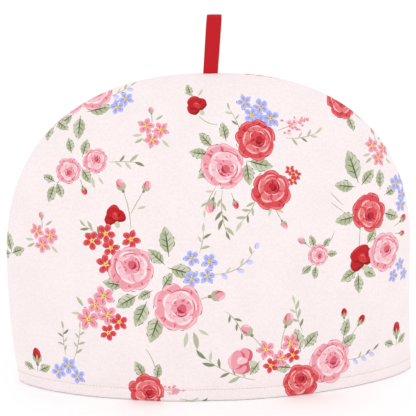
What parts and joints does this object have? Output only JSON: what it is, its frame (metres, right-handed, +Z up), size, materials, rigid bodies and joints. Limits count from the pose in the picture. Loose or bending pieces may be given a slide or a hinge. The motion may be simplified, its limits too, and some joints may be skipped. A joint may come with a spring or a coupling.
{
  "type": "tea cosy",
  "caption": "Padded, dome-shaped tea cosy of flower-printed cotton, with a stitched hem and a red tape loop at the top of its seam.",
  "frame": {"origin": "on the ground under the middle of the cosy, in the plane of the seam", "axes": "+Z up through the loop, +X along the seam towards the right end of the hem, -Y out of the front panel"},
  "size_m": [0.3294, 0.1362, 0.2956],
  "materials": {
    "printed_cotton": "matt cotton, pale blush ground printed with roses, small flowers and leaves",
    "red_tape": "matt red cotton tape"
  },
  "bodies": {
    "root": {"front_panel": "printed_cotton", "back_panel": "printed_cotton", "loop": "red_tape"}
  },
  "joints": []
}
